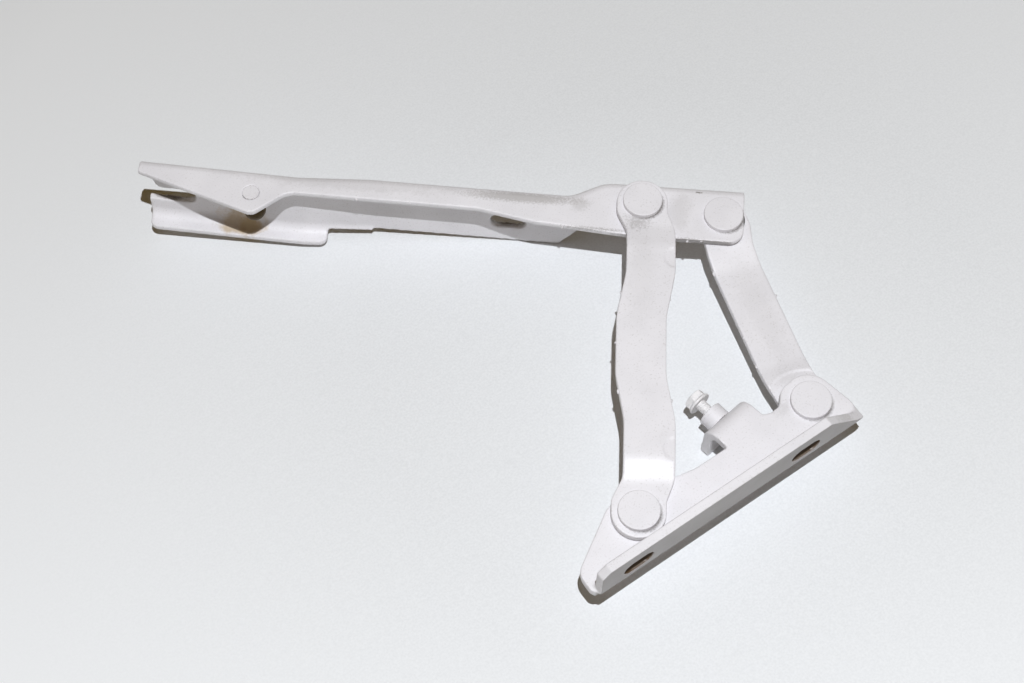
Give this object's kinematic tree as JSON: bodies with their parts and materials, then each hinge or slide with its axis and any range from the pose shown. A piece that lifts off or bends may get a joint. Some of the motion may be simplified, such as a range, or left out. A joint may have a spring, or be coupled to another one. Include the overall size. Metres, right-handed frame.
{
  "type": "car bonnet hinge",
  "caption": "Riveted four-bar bonnet hinge of folded sheet steel: a slotted body bracket, joggled links, a flanged bonnet arm with a strut ball, and an adjustable stop bolt.",
  "frame": {"origin": "centre of the two body bolt slots, on the outer face of the bracket's mounting flange", "axes": "+X along the mounting face towards the rear pivots, +Y from the mounting face towards the pivots, +Z along every pivot towards the rivet heads; the hinge lies on its side, opened as pictured"},
  "size_m": [0.2555, 0.3316, 0.066],
  "materials": {
    "paint": "satin pale silver paint, scuffed and specked",
    "rivet": "satin pale silver paint over steel",
    "bush": "dull sintered bronze",
    "washer": "matt",
    "steel": "zinc plated, paint overspray",
    "ball": "dark, greasy"
  },
  "bodies": {
    "base": {"body_bracket": "paint", "stop_nut": "paint", "front_base_rivet": "rivet", "rear_base_rivet": "rivet", "front_base_washer": "washer", "rear_base_washer": "washer", "rear_base_backing": "steel"},
    "stop": {"stop_bolt": "steel"},
    "front_link": {"front_link": "paint", "front_base_bush": "bush", "front_arm_bush": "bush"},
    "arm": {"bonnet_arm": "paint", "front_arm_rivet": "rivet", "rear_arm_rivet": "rivet", "front_arm_washer": "washer", "rear_arm_washer": "washer", "rear_arm_backing": "steel", "strut_ball_stud": "ball"},
    "rear_link": {"rear_link": "paint", "rear_base_bush": "bush", "rear_arm_bush": "bush"}
  },
  "joints": [
    {"name": "front_link_pivot", "type": "hinge", "parent": "base", "child": "front_link", "pos_m": [-0.0327, 0.0216, -0.009], "axis": [0, 0, 1], "range_deg": [-39, 0]},
    {"name": "arm_pivot", "type": "hinge", "parent": "front_link", "child": "arm", "pos_m": [0.0714, 0.15726, -0.009], "axis": [0, 0, 1], "range_deg": [-0.5, 80]},
    {"name": "rear_link_pivot", "type": "hinge", "parent": "arm", "child": "rear_link", "pos_m": [0.10226, 0.12902, -0.009], "axis": [0, 0, 1], "range_deg": [-97, 0.5]},
    {"name": "stop_adjustment", "type": "slide", "parent": "base", "child": "stop", "axis": [-0.1357, 0.9907, 0], "range_m": [-0.006, 0]}
  ],
  "couplings": [
    {"joint": "arm_pivot", "follows": "front_link_pivot", "ratio": -2.041},
    {"joint": "rear_link_pivot", "follows": "front_link_pivot", "ratio": 2.4635}
  ]
}
